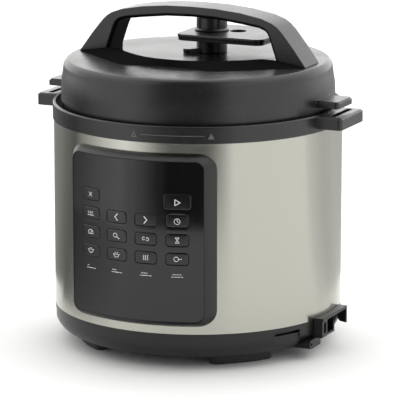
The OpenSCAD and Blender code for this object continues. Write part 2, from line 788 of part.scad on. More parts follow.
module inner_pot() {
  base_round = 6;
  rim_r = housing_r + 0.5;
  curve = [for (t = [0 : 15 : 90])
    [pot_r - base_round + base_round*sin(t), pot_z + base_round - base_round*cos(t)]];
  inside = [for (t = [90 : -15 : 0])
    [pot_r - base_round + (base_round - pot_t)*sin(t), pot_z + base_round - (base_round - pot_t)*cos(t)]];
  color("#c8c8c8") rotate_extrude() polygon(concat(
    [[0, pot_z]], curve,
    [[pot_r, rim_z], [rim_r, rim_z], [rim_r, rim_z + rim_h], [pot_r - pot_t, rim_z + rim_h]],
    inside, [[0, pot_z + pot_t]]));
}

seal_low = rim_z + rim_h + gap_body;
seal_high = inner_rim_z - gap_body;
seal_mid = (seal_low + seal_high)/2;
module sealing_ring() {
  out_r = housing_r + 0.5;
  in_r = pot_r - 6.5;
  color("#d8d5ca") rotate_extrude() polygon([
    [in_r, seal_low], [out_r, seal_low], [out_r + 1.2, seal_mid], [out_r, seal_high],
    [in_r, seal_high], [in_r + 1, seal_high - 2.6], [in_r + 5, seal_mid + 2.4],
    [in_r + 5, seal_mid - 2.4], [in_r + 1, seal_low + 2.6]]);
}

module seal_rack() {
  wire = 1.6;
  rack_r = pot_r - 4.5;
  leg_r = pot_r - 9.5;
  color("#b5b5b0") {
    translate([0, 0, seal_mid]) rotate_extrude() translate([rack_r, 0]) circle(wire, $fn = fn_small);
    for (a = [0 : 60 : 300]) rotate([0, 0, a]) {
      translate([leg_r, 0, seal_mid]) rotate([0, 90, 0])
        cylinder(r = 1.2, h = rack_r - leg_r, $fn = fn_small);
      translate([leg_r, 0, seal_mid - 1.2])
        cylinder(r = 1.2, h = inner_rim_z - seal_mid + 1.2, $fn = fn_small);
    }
  }
}

// ---- Lid ----

module inner_lid() {
  t = inner_lid_t;
  skirt_low = flange_z - bayonet_gap - 2.4;
  color("#bdbdb8") {
    difference() {
      rotate_extrude() polygon([
        [skin_out, skirt_low], [skin_out, inner_rim_z - 1], [skin_out - 1, inner_rim_z + t - 1],
        [skin_out - 3, inner_rim_z + t], [dome_r + 6, inner_rim_z + t], [dome_r, dome_z + t],
        [0, dome_z + t], [0, dome_z], [dome_r - 1, dome_z], [dome_r + 5, inner_rim_z],
        [skin_in - 1, inner_rim_z], [skin_in, inner_rim_z - 1], [skin_in, skirt_low]]);
      translate([0, valve_y, dome_z - 1]) cylinder(r = pipe_r + gap_run, h = t + 2, $fn = fn_small);
      translate([float_at[0], float_at[1], dome_z - 1])
        cylinder(r = float_r + 2.5 + gap_run, h = t + 2, $fn = fn_small);
    }
    bayonet(neck_r + 0.5, skin_in + 0.5, skirt_low, 2.4, 0);
  }
}

screw_at = [104, 9];
module lid_cover() {
  shoulder = [for (t = [0 : 10 : 60]) [crease_r - 4.2 + 8.2*cos(t), lid_top - 8.8 + 9*sin(t)]];
  under = lid_top - lid_t;
  inner_r = skin_out + 0.6;
  inside_z = inner_rim_z + inner_lid_t + 1.5;
  color("#2e2e2e") difference() {
    union() {
      rotate_extrude() polygon(concat(
        [[inner_r, lid_z], [lid_r - 0.6, lid_z], [lid_r, lid_z + 0.8], [lid_r, lid_z + 15],
         [lid_r - 0.5, lid_z + 24], [lid_r - 2, lid_z + 33]], shoulder,
        [[crease_r - 1, crease_z + 0.3], [crease_r - 12, lid_top], [0, lid_top], [0, under],
         [crease_r - 6, under], [lid_r - 2 - lid_t, under - 7], [inner_r, inside_z]]));
      for (s = [0, 180]) rotate([0, 0, s]) tab_block();
    }
    translate([0, 0, lid_z - 1]) cylinder(r = inner_r, h = inside_z - lid_z + 1);
    translate([0, valve_y, under - 1]) cylinder(r = pipe_r + gap_run, h = lid_t + 2, $fn = fn_small);
    translate([float_at[0], float_at[1], under - 1]) cylinder(r = 5.2, h = lid_t + 2, $fn = fn_small);
    for (x = [-1, 1], y = [-1, 1]) translate([x*screw_at[0], y*screw_at[1], under - 1])
      cylinder(r = 2.1, h = lid_t + 2, $fn = fn_small);
  }
}

module tab_block() {
  corner = 4;
  edge = 1.4;
  root = (tab_span/2 - lid_r + 26.3)/2;   // half length, from inside the cover's wall
  module outline(inset) {
    translate([tab_span/2 - root, 0]) rrect(2*root - 2*inset, tab_w - 2*inset, corner - inset);
  }
  translate([0, 0, tab_z]) linear_extrude(tab_t - edge) outline(0);
  translate([0, 0, tab_z + tab_t - edge]) linear_extrude(edge) outline(edge);
}

module lid_screws() {
  under = lid_top - lid_t;
  color("silver") for (x = [-1, 1], y = [-1, 1]) translate([x*screw_at[0], y*screw_at[1], under]) {
    cylinder(r = 2, h = lid_t + 9, $fn = fn_small);
    translate([0, 0, -2.2]) difference() {
      cylinder(r = 3.8, h = 2.2, $fn = fn_small);
      for (a = [0, 90]) rotate([0, 0, a]) cube([4.4, 1, 2.4], center = true);
    }
  }
}

// Side view of the bridge handle, from its right foot over the top to its left foot
handle_out = [[120, 0], [107, 17.5], [96, 31], [90.5, 36.5], [85, 40],
  [74, 44], [52, 48], [26, 50.4], [0, 51]];
handle_in = [[88, 0], [88, 5.5], [81, 26], [79, 30], [76, 32.5], [70, 34.5], [52, 37], [26, 39.9], [0, 40.7]];
function mirrored(pts) = [for (i = [len(pts) - 2 : -1 : 0]) [-pts[i][0], pts[i][1]]];
function grown(pts) = [for (p = pts) [p[0]*handle_l/240, p[1]*handle_h/51]];

module handle() {
  profile = concat(grown(handle_out), mirrored(grown(handle_out)),
    [for (i = [0 : len(handle_in) - 1]) [-grown(handle_in)[i][0], grown(handle_in)[i][1]]],
    [for (i = [len(handle_in) - 2 : -1 : 0]) grown(handle_in)[i]]);
  color("#303030") difference() {
    translate([0, handle_d/2, lid_top]) rotate([90, 0, 0]) linear_extrude(handle_d) polygon(profile);
    for (x = [-1, 1], y = [-1, 1]) translate([x*screw_at[0], y*screw_at[1], lid_top - 1])
      cylinder(r = 2.1, h = 11, $fn = fn_small);
  }
}

// Raised band in front of the handle that joins its two feet
module handle_saddle() {
  reach = handle_l/2 - 1.5;
  front = -handle_d/2 - gap_fit;
  // Toe of the slope, its crest and its height, by distance from the middle
  toe = [[0, -65], [15, -66.5], [30, -70], [42, -72.5], [52, -70.5], [reach, front - 2]];
  crest = [[0, -61], [15, -60], [30, -56], [42, -49], [52, -42], [64, -32], [76, front], [reach, front]];
  height = [[0, 6.7], [42, 6.6], [64, 6.2], [88, 5.6], [reach, 0.6]];
  edge = 0.3;
  rings = [for (x = [-reach : reach/48 : reach + eps])
    let (t = lookup(abs(x), toe), c = lookup(abs(x), crest), h = lookup(abs(x), height))
    [[x, t, lid_top], [x, t + (c - t)*0.5, lid_top + h*0.56], [x, c - 2*edge, lid_top + h - edge/2],
     [x, c, lid_top + h - edge], [x, c, lid_top]]];
  color("#262626") skin(rings);
}

// ---- Steam valve ----

module at_valve() {
  translate([0, valve_y, 0]) children();
}

module steam_pipe() {
  color("#b8b8b2") at_valve() {
    tube(pipe_r, pipe_in, dome_z - 5, plate_hi + pipe_stub);
    tube(pipe_r + 4, pipe_r - 0.5, dome_z - 3.5, dome_z);
  }
}

module filter_cap() {
  cap_r = 14;
  depth = 9;
  color("#c4c4bf") at_valve() difference() {
    translate([0, 0, dome_z - depth]) cylinder(r = cap_r, h = depth);
    translate([0, 0, dome_z - depth + 1]) cylinder(r = cap_r - 1, h = depth);
    for (a = [0 : 30 : 150]) rotate([0, 0, a]) translate([-cap_r - 1, -0.8, dome_z - depth + 3])
      cube([2*cap_r + 2, 1.6, 3.5]);
  }
}

module valve_column() {
  color("#262626") at_valve() tube(core_r, pipe_r + gap_run, valve_foot, plate_lo);
}

module guard_plate() {
  corner = 9;
  plate_x = 23;
  finger_hole = [26, 4.6];
  step = plate_t*0.55;
  module outline(inset) {
    translate([plate_x, 0]) rrect(plate_w - 2*inset, plate_d - 2*inset, corner - inset);
  }
  color("#2b2b2b") at_valve() difference() {
    union() {
      translate([0, 0, plate_lo]) linear_extrude(step) outline(0.8);
      translate([0, 0, plate_lo + step]) linear_extrude(plate_t - step) outline(0);
    }
    translate([0, 0, plate_lo - 1]) cylinder(r = pipe_r + gap_run, h = plate_t + 2, $fn = fn_small);
    translate([finger_hole[0], finger_hole[1], plate_lo - 1])
      cylinder(r = 8, h = plate_t + 2, $fn = fn_small);
  }
}

module release_lever() {
  tab_h = 4.5;
  tab_w2 = 11;
  lever_a = 48;        // direction of the tab, from -X towards the front
  low = valve_foot + gap_body;
  color("#2a2a2a") at_valve() difference() {
    union() {
      translate([0, 0, low]) cylinder(r = valve_d/2, h = plate_z - 2*gap_body);
      rotate([0, 0, lever_a]) translate([-lever_l/2, 0, low]) linear_extrude(tab_h)
        rrect(lever_l, tab_w2, tab_w2/2 - eps);
    }
    translate([0, 0, low - 1]) cylinder(r = core_r + gap_run, h = plate_z + 2);
  }
}

module valve_weight() {
  low = plate_hi + gap_body;
  weight_h = 14.5;
  color("#242424") at_valve() difference() {
    rotate_extrude() polygon([[0, low], [valve_d/2 + 2, low], [valve_d/2 + 2, low + 1.2],
      [valve_d/2, low + 2], [valve_d/2, low + weight_h - 1.5], [valve_d/2 - 1.5, low + weight_h],
      [0, low + weight_h]]);
    translate([0, 0, plate_hi - 1])
      cylinder(r = pipe_r + gap_run, h = pipe_stub + 1 + gap_body, $fn = fn_small);
  }
}

module at_float() {
  translate([float_at[0], float_at[1], 0]) children();
}

module float_guide() {
  color("#b8b8b2") at_float() {
    tube(float_r + 2.5, float_r + gap_run, dome_z - 4, lid_top - 4.2);
    tube(float_r + 5, float_r + 2.4, dome_z + inner_lid_t, dome_z + inner_lid_t + 2);
  }
}

float_low = dome_z - 4 - float_travel - gap_body;   // top of the float's lower flange
seal_t = 1.2;
module float_pin() {
  color("#a9281f") at_float() {
    translate([0, 0, float_low - seal_t - 1.5]) cylinder(r = 5, h = 1.5, $fn = fn_small);
    translate([0, 0, float_low - seal_t - eps])
      cylinder(r = float_r, h = lid_top - float_low + seal_t - 2, $fn = fn_small);
    translate([0, 0, lid_top - 3.8]) cylinder(r = 4.6, h = 3.2, $fn = fn_small);
  }
}

module float_seal() {
  color("#c9c2b0") at_float() tube(4.8, float_r, float_low - seal_t, float_low);
}

base_shell();
bottom_cover();
feet();
base_screws();
outer_shell();
collar();
lock_marks();
pressure_housing();
heat_shield();
heating_plate();
heating_element();
thermal_fuse();
pressure_switch();
sensor_housing();
sensor_spring();
sensor_button();
power_board();
power_parts();
ribbon_cable();
bezel();
panel_face();
control_board();
display_module();
key_switches();
key(0);  // key_cancel
key(1);  // key_keep_warm
key(2);  // key_pressure
key(3);  // key_meal
key(4);  // key_less
key(5);  // key_meat
key(6);  // key_rice
key(7);  // key_more
key(8);  // key_beans
key(9);  // key_steam
key(10);  // key_start
key(11);  // key_delay
key(12);  // key_slow
key(13);  // key_fry
inlet_housing();
inlet_socket();
inlet_pins();
cup_rail();
condensation_cup();
inner_pot();
sealing_ring();
seal_rack();
inner_lid();
lid_cover();
lid_screws();
handle();
handle_saddle();
steam_pipe();
filter_cap();
valve_column();
guard_plate();
release_lever();
valve_weight();
float_guide();
float_pin();
float_seal();
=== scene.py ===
import json
import math

import bmesh
import bpy
from mathutils import Matrix, Vector


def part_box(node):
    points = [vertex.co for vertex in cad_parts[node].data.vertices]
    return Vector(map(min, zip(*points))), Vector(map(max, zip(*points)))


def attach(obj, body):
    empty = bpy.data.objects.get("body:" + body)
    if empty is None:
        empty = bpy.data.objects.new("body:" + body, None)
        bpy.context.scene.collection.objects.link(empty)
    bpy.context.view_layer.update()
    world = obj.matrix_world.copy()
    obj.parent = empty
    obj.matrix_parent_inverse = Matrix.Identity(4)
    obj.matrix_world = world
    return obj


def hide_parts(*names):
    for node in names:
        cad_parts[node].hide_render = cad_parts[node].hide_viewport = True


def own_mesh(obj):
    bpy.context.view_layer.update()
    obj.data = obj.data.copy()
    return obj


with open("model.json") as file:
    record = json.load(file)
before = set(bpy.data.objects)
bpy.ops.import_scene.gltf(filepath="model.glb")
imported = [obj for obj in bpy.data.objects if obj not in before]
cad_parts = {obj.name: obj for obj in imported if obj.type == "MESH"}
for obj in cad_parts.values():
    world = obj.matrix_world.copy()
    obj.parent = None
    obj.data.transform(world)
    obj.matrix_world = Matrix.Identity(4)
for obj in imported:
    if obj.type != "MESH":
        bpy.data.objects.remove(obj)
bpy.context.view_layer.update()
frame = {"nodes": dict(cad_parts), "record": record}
nodes = frame["nodes"]
scene = bpy.context.scene

# ---- Camera ----
# A long lens looks slightly down on the cooker from the right of its front.
# It aims at the middle of the body, a little behind its axis.
camera_azimuth = math.radians(25)
camera_rise = math.radians(12.46)
camera_distance = 2.981
aim = Vector((0.0017, 0.0008, 0.1347))
towards_camera = Vector((
    math.sin(camera_azimuth) * math.cos(camera_rise),
    -math.cos(camera_azimuth) * math.cos(camera_rise),
    math.sin(camera_rise)))
camera = bpy.data.objects.new("camera", bpy.data.cameras.new("camera"))
camera.data.sensor_width = 36
camera.data.lens = 274.5
camera.data.clip_end = 60
camera.location = aim + camera_distance * towards_camera
camera.rotation_euler = (-towards_camera).to_track_quat("-Z", "Y").to_euler()
scene.collection.objects.link(camera)
scene.camera = camera


# ---- Studio ----
# A matt pale floor lies under a white sky with a dark gap in front of the cooker, which gives the
# round body its dark middle band. Three glowing sheets on the floor show only in reflections.
class Wire:
    """A socket in a finish: sums and products of wires add Math nodes, and put() adds any other node."""

    def __init__(self, tree, socket=None):
        self.tree = tree
        self.socket = socket

    def put(self, kind, settings=None, sockets=None, out=0):
        """A new node: its type, its settings, its sockets' values or wires, and the output to go on from."""
        node = self.tree.nodes.new("ShaderNode" + kind)
        for name, value in (settings or {}).items():
            if name == "stops":
                while len(node.color_ramp.elements) < len(value):
                    node.color_ramp.elements.new(1)
                for element, (place, colour) in zip(node.color_ramp.elements, value):
                    element.position = place
                    element.color = (*colour, 1)
            else:
                setattr(node, name, value)
        for name, value in (sockets or {}).items():
            if isinstance(value, Wire):
                self.tree.links.new(value.socket, node.inputs[name])
            else:
                node.inputs[name].default_value = value
        return Wire(self.tree, node.outputs[out])

    def into(self, node, socket):
        self.tree.links.new(self.socket, node.inputs[socket])

    def parts(self):
        """The x, y and z of a place or direction."""
        split = self.put("SeparateXYZ", None, {"Vector": self})
        return [Wire(self.tree, output) for output in split.socket.node.outputs]

    def __add__(self, other):
        return maths("ADD", self, other)

    def __radd__(self, other):
        return maths("ADD", other, self)

    def __sub__(self, other):
        return maths("SUBTRACT", self, other)

    def __rsub__(self, other):
        return maths("SUBTRACT", other, self)

    def __mul__(self, other):
        return maths("MULTIPLY", self, other)

    def __rmul__(self, other):
        return maths("MULTIPLY", other, self)

    def __truediv__(self, other):
        return maths("DIVIDE", self, other)

    def __rtruediv__(self, other):
        return maths("DIVIDE", other, self)

    def __pow__(self, other):
        return maths("POWER", self, other)

    def __rpow__(self, other):
        return maths("POWER", other, self)

    def step(self, low, high, to_low=0.0, to_high=1.0):
        """A soft step from one value to another as this one goes from low to high."""
        if low > high:
            low, high, to_low, to_high = high, low, to_high, to_low
        ends = {"From Min": low, "From Max": high, "To Min": to_low, "To Max": to_high}
        return self.put("MapRange", {"interpolation_type": "SMOOTHSTEP"}, {"Value": self, **ends})

    def stretched(self, *scale):
        return self.put("Mapping", None, {"Vector": self, "Scale": scale})

    def noise(self, scale, detail=2.0):
        return self.put("TexNoise", None, {"Vector": self, "Scale": scale, "Detail": detail})

    def blend(self, low, high):
        """A colour between two colours or wires. Sockets 6 and 7 and output 2 are the node's colours."""
        return self.put("Mix", {"data_type": "RGBA"}, {0: self, 6: low, 7: high}, out=2)

    def bump(self, strength, distance):
        return self.put("Bump", None, {"Height": self, "Strength": strength, "Distance": distance})


def maths(operation, *terms):
    """A Math node on wires and numbers."""
    wire = next(term for term in terms if isinstance(term, Wire))
    return wire.put("Math", {"operation": operation}, dict(enumerate(terms)))


def finish(name, constants):
    """A new finish: its shader, with constants set, and the wire of its object coordinates."""
    material = bpy.data.materials.new(name)
    material.use_nodes = True
    shader = material.node_tree.nodes["Principled BSDF"]
    for socket, value in constants.items():
        shader.inputs[socket].default_value = value
    place = Wire(material.node_tree).put("TexCoord", out="Object")
    return material, shader, place


def built(name, mesh, material):
    """Turns a bmesh into an object of one finish."""
    data = bpy.data.meshes.new(name)
    mesh.to_mesh(data)
    mesh.free()
    data.materials.append(material)
    thing = bpy.data.objects.new(name, data)
    scene.collection.objects.link(thing)
    return thing


def floor_sheet(name, near, far, first, last, glow_stops):
    """A sheet between two radii and two turns from the camera, with a glow that changes round it."""
    above_floor = 0.002
    sweep = math.radians(last - first)
    mesh = bmesh.new()
    ends = [mesh.verts.new((0, -reach, above_floor)) for reach in (near, far)]
    mesh.edges.new(ends)
    start = Matrix.Rotation(camera_azimuth + math.radians(first), 3, "Z")
    bmesh.ops.rotate(mesh, verts=ends, matrix=start)
    bmesh.ops.spin(mesh, geom=mesh.verts[:] + mesh.edges[:], axis=(0, 0, 1), cent=(0, 0, 0), angle=sweep,
                   steps=48)

    material = bpy.data.materials.new(name)
    material.use_nodes = True
    material.node_tree.nodes.clear()
    place = Wire(material.node_tree).put("TexCoord", out="Object")
    place = place.put("Mapping", None, {"Vector": place, "Rotation": (0, 0, -camera_azimuth)})
    across, along = place.parts()[:2]
    turn = maths("ARCTAN2", across, 0 - along)
    share = maths("FLOORED_MODULO", turn - math.radians(first), 2 * math.pi) / sweep
    brightest = 2.0
    stops = [((at - first) / (last - first), (glow / brightest,) * 3) for at, glow in glow_stops]
    ramp = share.put("ValToRGB", {"stops": stops}, {"Fac": share})
    light = ramp.put("Emission", None, {"Color": ramp, "Strength": brightest})
    light.into(material.node_tree.nodes.new("ShaderNodeOutputMaterial"), "Surface")

    sheet = built(name, mesh, material)
    for ray in ("camera", "diffuse", "shadow", "transmission"):
        setattr(sheet, "visible_" + ray, False)


floor_mesh = bmesh.new()
bmesh.ops.create_circle(floor_mesh, cap_ends=True, segments=96, radius=6)
pale_floor, shader, place = finish("pale_floor", {"Base Color": (0.93, 0.93, 0.925, 1)})
place.noise(3).step(0.2, 0.8, 0.86, 0.94).into(shader, "Roughness")
built("floor", floor_mesh, pale_floor)

sheets_meet = 0.745
floor_sheet("front_sheet", near=sheets_meet, far=3.5, first=-112, last=24, glow_stops=[
    (-112, 0.1), (-106, 0.1), (-100, 0.4), (-90, 0.6), (-72, 1.2), (-56, 1.6), (-40, 0.9), (-30, 0.3),
    (-21, 0.02), (7, 0.02), (15, 0.4), (24, 1.1)])
floor_sheet("left_sheet", near=0.26, far=sheets_meet, first=-112, last=-52, glow_stops=[
    (-112, 0.15), (-94, 0.3), (-76, 0.7), (-52, 1.22)])
floor_sheet("back_sheet", near=0.30, far=3.5, first=90, last=248, glow_stops=[
    (90, 1.15), (110, 0.8), (130, 0.8), (180, 0.3), (226, 0.3), (248, 0.15)])

world = bpy.data.worlds.new("studio")
scene.world = world
world.use_nodes = True
direction = Wire(world.node_tree).put("TexCoord", out="Generated")
east, north, height = direction.parts()
level = (east * east + north * north) ** 0.5 + 0.0001
gap_turn = math.radians(15)
gap_core = math.radians(24)
gap_edge = math.radians(38)
facing = (east * math.sin(gap_turn) - north * math.cos(gap_turn)) / level
dark_gap = facing.step(math.cos(gap_edge), math.cos(gap_core))
low_behind = facing.step(-0.2, -0.8) * height.step(0.7, 0.3)
high_in_front = facing.step(0.1, 0.7) * height.step(0.55, 0.85)
glow = height.step(0.25, 0.9).blend((1.3, 1.3, 1.29, 1), (2.1, 2.1, 2.08, 1))
glow = low_behind.blend(glow, (2.0, 2.0, 1.98, 1))
glow = high_in_front.blend(glow, (0.75, 0.75, 0.75, 1))
dark_gap.blend(glow, (0.05, 0.05, 0.05, 1)).into(world.node_tree.nodes["Background"], "Color")

scene.view_settings.view_transform = "Standard"
scene.view_settings.look = "None"


# ---- Base and feet ----
# The base ring and its vented cover are moulded in satin black plastic, with the fine grain
# that a spark-eroded mould leaves. Four curved rubber feet are glued under the ring.
record = frame["record"]
body_of = {node: body for body, members in record["behaviour"]["bodies"].items() for node in members}


def moulded(name, constants, grain_scale, drift_scale, rough):
    """Moulded plastic: its gloss drifts between two roughnesses under a fine grain."""
    grain_rough = 0.015
    material, shader, place = finish(name, constants)
    grain = place.noise(grain_scale)
    drift = place.noise(drift_scale, 3)
    speckle = grain.step(0.3, 0.7, -grain_rough, grain_rough)
    (drift.step(0.25, 0.75, *rough) + speckle).into(shader, "Roughness")
    grain.bump(0.12, 0.0001).into(shader, "Normal")
    return material


def speckled(name, constants, scale, detail, rough, bump=None):
    """A finish whose gloss changes from speck to speck, with the same specks as bumps if asked for."""
    material, shader, place = finish(name, constants)
    specks = place.noise(scale, detail)
    specks.step(0.3, 0.7, *rough).into(shader, "Roughness")
    if bump:
        specks.bump(*bump).into(shader, "Normal")
    return material


def dress(material, *names):
    """Gives nodes that are shown as they are their finish."""
    for name in names:
        nodes[name].data.materials.clear()
        nodes[name].data.materials.append(material)


def merged_copy(name):
    """A bmesh copy of a node, with its corners merged and its flat faces whole."""
    same_place = 0.000002
    flat = math.radians(0.4)
    mesh = bmesh.new()
    mesh.from_mesh(nodes[name].data)
    bmesh.ops.remove_doubles(mesh, verts=mesh.verts, dist=same_place)
    bmesh.ops.dissolve_limit(mesh, angle_limit=flat, verts=mesh.verts, edges=mesh.edges)
    return mesh


def round_edges(mesh, edges, width, segments=2):
    """Rounds edges, or cuts them flat with one segment."""
    bmesh.ops.bevel(mesh, geom=edges, offset=width, offset_type="OFFSET", segments=segments, profile=0.5,
                    affect="EDGES", clamp_overlap=False, material=-1)


def sharper_than(mesh, degrees):
    """The edges whose faces turn by more than an angle."""
    limit = math.radians(degrees)
    return [edge for edge in mesh.edges if edge.is_manifold and edge.calc_face_angle() > limit]


def piece(name, mesh, body, material, stands_for=None, even_normals=True):
    """Turns a finished bmesh into a piece that rides on a body and may stand for a node."""
    crease = math.radians(38)
    for face in mesh.faces:
        face.smooth = True
    for edge in mesh.edges:
        edge.smooth = not edge.is_manifold or edge.calc_face_angle() < crease
    made = built(name, mesh, material)
    if even_normals:
        made.modifiers.new("even_normals", "WEIGHTED_NORMAL").keep_sharp = True
    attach(made, body)
    if stands_for:
        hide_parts(stands_for)
    return made


def eased(name, material, edge=0, segments=2):
    """A smooth copy of a node that stands for it, with its sharp edges rounded."""
    mesh = merged_copy(name)
    if edge:
        round_edges(mesh, sharper_than(mesh, 30), edge, segments)
    return piece(name + "_eased", mesh, body_of[name], material, name)


satin_black = moulded("satin_black_plastic", {"Base Color": (0.012, 0.012, 0.0125, 1), "IOR": 1.5},
                      grain_scale=2600, drift_scale=28, rough=(0.25, 0.31))
base_black = moulded("base_black_plastic", {"Base Color": (0.009, 0.009, 0.0094, 1), "IOR": 1.43},
                     grain_scale=2200, drift_scale=24, rough=(0.3, 0.37))
foot_rubber = speckled("foot_rubber", {"Base Color": (0.016, 0.016, 0.016, 1)},
                       scale=900, detail=3, rough=(0.55, 0.7), bump=(0.3, 0.0002))
zinc = speckled("zinc_plate", {"Base Color": (0.62, 0.62, 0.64, 1), "Metallic": 1.0},
                scale=700, detail=3, rough=(0.22, 0.36))
eased("base_shell", base_black, edge=0.0004)
dress(base_black, "bottom_cover")
eased("feet", foot_rubber, edge=0.0012, segments=3)
dress(zinc, "base_screws", "lid_screws")

# ---- Steel body ----
# A rolled and welded sleeve of stainless steel, brushed round the body before it is rolled.
# Lips on the base ring and on the collar hold it.
brushed, shader, place = finish("brushed_shell_steel", {
    "Base Color": (0.42, 0.417, 0.372, 1), "Metallic": 1.0,
    "Anisotropic": 0.7, "Anisotropic Rotation": 0.25})
streaks = place.stretched(1, 1, 70).noise(30, 4)
scratches = place.stretched(1, 1, 45).noise(150, 3)
(streaks.step(0.3, 0.7, 0.19, 0.215) + scratches.step(0.3, 0.7, -0.01, 0.01)).into(shader, "Roughness")
(streaks * 0.4 + scratches).bump(0.012, 0.00005).into(shader, "Normal")
dress(brushed, "outer_shell")

# ---- Collar ----
# A satin black ring that clips onto the steel sleeve, with the two side handles moulded on.
# Their slots hold the lid when it is parked upright. The lock marks are moulded on its face.
mark_grey = speckled("mark_grey", {"Base Color": (0.10, 0.10, 0.10, 1)},
                     scale=900, detail=2, rough=(0.35, 0.5))
eased("collar", satin_black, edge=0.0005)
dress(mark_grey, "lock_marks")

# ---- Pressure housing and heater ----
# A deep drawn aluminium housing with six bayonet lugs holds a cast heating plate.
# A sprung sensor cap stands in the plate's middle and touches the pot.
cast = speckled("cast_aluminium", {"Base Color": (0.62, 0.62, 0.61, 1), "Metallic": 1.0},
                scale=900, detail=4, rough=(0.36, 0.52), bump=(0.25, 0.0002))
dress(cast, "heating_plate", "sensor_button")

# Drawn and spun parts, of steel or of aluminium, keep the fine rings of the lathe.
spun, shader, place = finish("spun_metal", {"Base Color": (0.60, 0.60, 0.59, 1), "Metallic": 1.0})
across, along, upward = place.parts()
radius = (across * across + along * along) ** 0.5
rings = radius.put("CombineXYZ", None, {"X": radius * 60, "Z": upward * 60}).noise(40, 3)
rings.step(0.3, 0.7, 0.17, 0.27).into(shader, "Roughness")
rings.bump(0.06, 0.00005).into(shader, "Normal")
dress(spun, "pressure_housing", "heat_shield", "sensor_housing", "seal_rack", "filter_cap")

# The spring under the sensor cap gets its own mesh, and the share of its height that the cap's travel takes
# is worked out; the spring is not shortened here.
joints = record["behaviour"]["joints"]
spring = eased("sensor_spring", spun)
spring_low, spring_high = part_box("sensor_spring")
sensor_press = next(joint for joint in joints if joint["name"] == "sensor_press")
press_share = max(abs(end) for end in sensor_press["range_m"]) / (spring_high.z - spring_low.z)
1 - press_share
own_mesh(spring)

heater = speckled("heater_sheath", {"Base Color": (0.22, 0.20, 0.18, 1), "Metallic": 1.0},
                  scale=500, detail=3, rough=(0.4, 0.6))
fuse_body = speckled("fuse_body", {"Base Color": (0.68, 0.65, 0.57, 1)},
                     scale=400, detail=2, rough=(0.5, 0.65))
dress(heater, "heating_element")
dress(fuse_body, "thermal_fuse")
dress(satin_black, "pressure_switch")

# ---- Electronics ----
# The power board lies under the pot and the control board stands behind the panel.
# Both are green glass-fibre boards with tinned tracks; a grey ribbon joins them.
board_green, shader, place = finish("circuit_board", {})
tracks = place.stretched(260, 260, 260)
tracks = tracks.put("TexBrick", {"offset": 0.37}, {"Vector": tracks, "Scale": 1.0, "Mortar Size": 0.03},
                    out="Fac")
tracks.blend((0.012, 0.085, 0.03, 1), (0.10, 0.26, 0.10, 1)).into(shader, "Base Color")
tracks.step(0, 1, 0.35, 0.22).into(shader, "Roughness")
dress(board_green, "power_board", "control_board")

component_plastic, shader, place = finish("component_plastic", {"Roughness": 0.4})
cells = place.stretched(45, 45, 1)
cells = cells.put("TexVoronoi", None, {"Vector": cells, "Scale": 1.0, "Randomness": 0.6}, out="Color")
shade = cells.put("SeparateColor", None, {"Color": cells})
component_tones = [(0.0, (0.45, 0.36, 0.06)), (0.4, (0.03, 0.03, 0.03)), (0.7, (0.05, 0.10, 0.30)),
                   (1.0, (0.5, 0.5, 0.5))]
shade.put("ValToRGB", {"stops": component_tones}, {"Fac": shade}).into(shader, "Base Color")
dress(component_plastic, "power_parts")

ribbon_grey, shader, place = finish("ribbon_grey", {"Roughness": 0.5})
wire_pitch = 0.00127
wires = maths("SINE", place.parts()[0] * (2 * math.pi / wire_pitch))
wires.step(-0.6, 0.6).blend((0.30, 0.30, 0.31, 1), (0.55, 0.55, 0.56, 1)).into(shader, "Base Color")
dress(ribbon_grey, "ribbon_cable")

switch_grey = speckled("switch_plastic", {"Base Color": (0.09, 0.09, 0.10, 1)},
                       scale=600, detail=2, rough=(0.35, 0.5))
dress(switch_grey, "key_switches")


# ---- Control panel ----
# A satin frame stands off the steel and carries a face of glossy black plastic, bent to
# the body's curve. The display sits behind the face, above the keys.
def smeared(name, constants, scale, rough):
    """Glossy plastic, a little dulled in patches by fingers."""
    material, shader, place = finish(name, constants)
    place.noise(scale, 4).step(0.3, 0.8, *rough).into(shader, "Roughness")
    return material


gloss_black = smeared("gloss_black_plastic", {"Base Color": (0.005, 0.005, 0.0055, 1), "IOR": 1.5},
                      scale=40, rough=(0.07, 0.12))
display_glass = speckled("display_glass", {"Base Color": (0.008, 0.008, 0.009, 1), "IOR": 1.52},
                         scale=90, detail=2, rough=(0.05, 0.1))
eased("bezel", base_black)
eased("panel_face", gloss_black, edge=0.0003)
dress(display_glass, "display_module")

# ---- Keys ----
# Fourteen pillow-shaped keys of the same glossy plastic stand a little proud of the face.
# Each is pushed in by a finger and returned by the dome of its switch.
key_black = smeared("key_plastic", {"Base Color": (0.006, 0.006, 0.0065, 1), "IOR": 1.5},
                    scale=70, rough=(0.13, 0.19))
keys = [name for name in nodes if name.startswith("key_") and name != "key_switches"]
for name in keys:
    eased(name, key_black, edge=0.0010, segments=3)


# ---- Key legends ----
# Plain line pictures are printed in pale grey ink on the keys, and rows of short bars on the
# face below them. They hold no words.
def arc(x, z, r, first, last, count=8):
    """Points round a centre, for a curved stroke."""
    turns = [math.radians(first + (last - first) * k / count) for k in range(count + 1)]
    return [(x + r * math.cos(turn), z + r * math.sin(turn)) for turn in turns]


def wisp(x):
    """A stroke of rising steam."""
    return [(x, -1.8), (x + 0.7, -0.6), (x, 0.6), (x + 0.7, 1.8)]


line_wide = 0.0005
ink_thick = 0.00012


